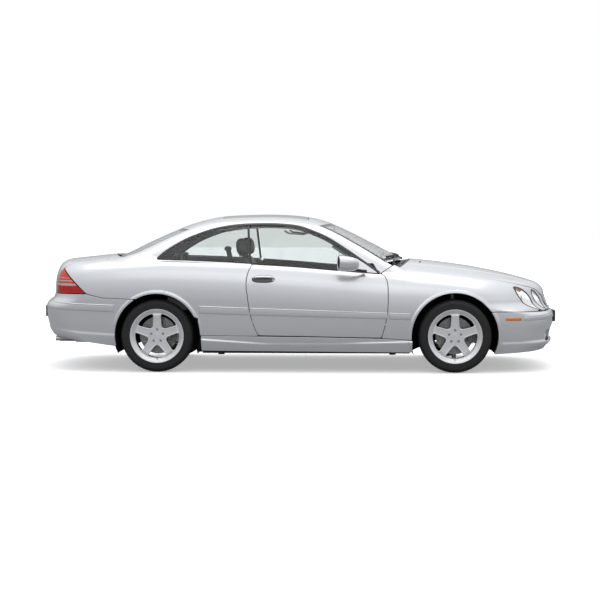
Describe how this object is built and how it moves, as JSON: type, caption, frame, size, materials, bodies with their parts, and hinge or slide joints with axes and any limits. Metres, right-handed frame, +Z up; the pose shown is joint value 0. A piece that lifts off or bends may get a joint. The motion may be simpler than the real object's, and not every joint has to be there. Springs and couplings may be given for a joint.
{
  "type": "coupe car",
  "caption": "Large two-door pillarless coupe car with opening doors, hood and trunk lid, steered front wheels, free-rolling wheels and a furnished cabin.",
  "frame": {"origin": "on the ground under the middle of the car", "axes": "+X to the front of the car, +Y to the car's left, +Z up"},
  "size_m": [4.884, 2.168, 1.4476],
  "materials": {
    "body_paint": "metallic silver-white paint under clear lacquer",
    "underbody": "black underbody coating",
    "tinted_glass": "green-grey tinted glass",
    "dark_glass": "dark tinted glass",
    "lamp_glass": "clear lamp glass",
    "red_lamp": "red lamp lens with clear and amber bands",
    "black_plastic": "fine-grained black plastic",
    "plate_white": "blank plate",
    "bare_metal": "cast and machined metal",
    "brushed_metal": "brushed steel",
    "interior_leather": "dark grey-green leather",
    "interior_plastic": "soft-touch dashboard",
    "bright_trim": "bright trim",
    "tyre_rubber": "black rubber",
    "wheel_silver": "satin silver lacquer"
  },
  "bodies": {
    "body": {"floor_pan": "underbody", "body_structure": "underbody", "body_sides": "body_paint", "rear_shelf": "body_paint", "roof_panel": "body_paint", "sunroof": "dark_glass", "front_fenders": "body_paint", "front_bumper": "body_paint", "rear_bumper": "body_paint", "side_sills": "body_paint", "windshield": "tinted_glass", "rear_window": "tinted_glass", "quarter_glass": "tinted_glass", "headlamps": "lamp_glass", "tail_lamps": "red_lamp", "cowl": "black_plastic", "plate_carriers": "plate_white", "engine": "bare_metal", "dashboard": "interior_plastic", "front_seats": "interior_leather", "rear_seat": "interior_leather", "exhaust": "brushed_metal", "front_suspension": "bare_metal", "rear_suspension": "bare_metal", "arch_liners": "black_plastic"},
    "right_door": {"right_door": "body_paint", "right_door_glass": "tinted_glass", "right_mirror": "body_paint"},
    "left_door": {"left_door": "body_paint", "left_door_glass": "tinted_glass", "left_mirror": "body_paint"},
    "hood": {"hood": "body_paint", "grille": "bright_trim"},
    "trunk_lid": {"trunk_lid": "body_paint"},
    "right_knuckle": {"right_knuckle": "bare_metal"},
    "left_knuckle": {"left_knuckle": "bare_metal"},
    "steering_wheel": {"steering_wheel": "interior_plastic"},
    "front_right_wheel": {"front_right_tyre": "tyre_rubber", "front_right_rim": "wheel_silver", "front_right_disc": "brushed_metal"},
    "front_left_wheel": {"front_left_tyre": "tyre_rubber", "front_left_rim": "wheel_silver", "front_left_disc": "brushed_metal"},
    "rear_right_wheel": {"rear_right_tyre": "tyre_rubber", "rear_right_rim": "wheel_silver", "rear_right_disc": "brushed_metal"},
    "rear_left_wheel": {"rear_left_tyre": "tyre_rubber", "rear_left_rim": "wheel_silver", "rear_left_disc": "brushed_metal"}
  },
  "joints": [
    {"name": "right_door_hinge", "type": "hinge", "parent": "body", "child": "right_door", "pos_m": [0.742, -0.884, 0.6], "axis": [0, 0, 1], "range_deg": [0, 65]},
    {"name": "left_door_hinge", "type": "hinge", "parent": "body", "child": "left_door", "pos_m": [0.742, 0.884, 0.6], "axis": [0, 0, -1], "range_deg": [0, 65]},
    {"name": "hood_hinge", "type": "hinge", "parent": "body", "child": "hood", "pos_m": [0.96, 0, 0.915], "axis": [0, -1, 0], "range_deg": [0, 46]},
    {"name": "trunk_hinge", "type": "hinge", "parent": "body", "child": "trunk_lid", "pos_m": [-1.815, 0, 1.062], "axis": [0, 1, 0], "range_deg": [0, 80]},
    {"name": "right_steer", "type": "hinge", "parent": "body", "child": "right_knuckle", "pos_m": [1.447, -0.712, 0.335], "axis": [0, 0, 1], "range_deg": [-35, 35]},
    {"name": "left_steer", "type": "hinge", "parent": "body", "child": "left_knuckle", "pos_m": [1.447, 0.712, 0.335], "axis": [0, 0, 1], "range_deg": [-35, 35]},
    {"name": "steering_wheel_turn", "type": "hinge", "parent": "body", "child": "steering_wheel", "pos_m": [0.33, 0.37, 0.79], "axis": [-0.9063, 0, 0.4226], "range_deg": [-525, 525]},
    {"name": "front_right_spin", "type": "hinge", "parent": "right_knuckle", "child": "front_right_wheel", "pos_m": [1.447, -0.784, 0.335], "axis": [0, 1, 0], "continuous": true},
    {"name": "front_left_spin", "type": "hinge", "parent": "left_knuckle", "child": "front_left_wheel", "pos_m": [1.447, 0.784, 0.335], "axis": [0, 1, 0], "continuous": true},
    {"name": "rear_right_spin", "type": "hinge", "parent": "body", "child": "rear_right_wheel", "pos_m": [-1.283, -0.784, 0.335], "axis": [0, 1, 0], "continuous": true},
    {"name": "rear_left_spin", "type": "hinge", "parent": "body", "child": "rear_left_wheel", "pos_m": [-1.283, 0.784, 0.335], "axis": [0, 1, 0], "continuous": true}
  ],
  "couplings": [
    {"joint": "left_steer", "follows": "right_steer", "ratio": 1},
    {"joint": "steering_wheel_turn", "follows": "right_steer", "ratio": 14}
  ]
}
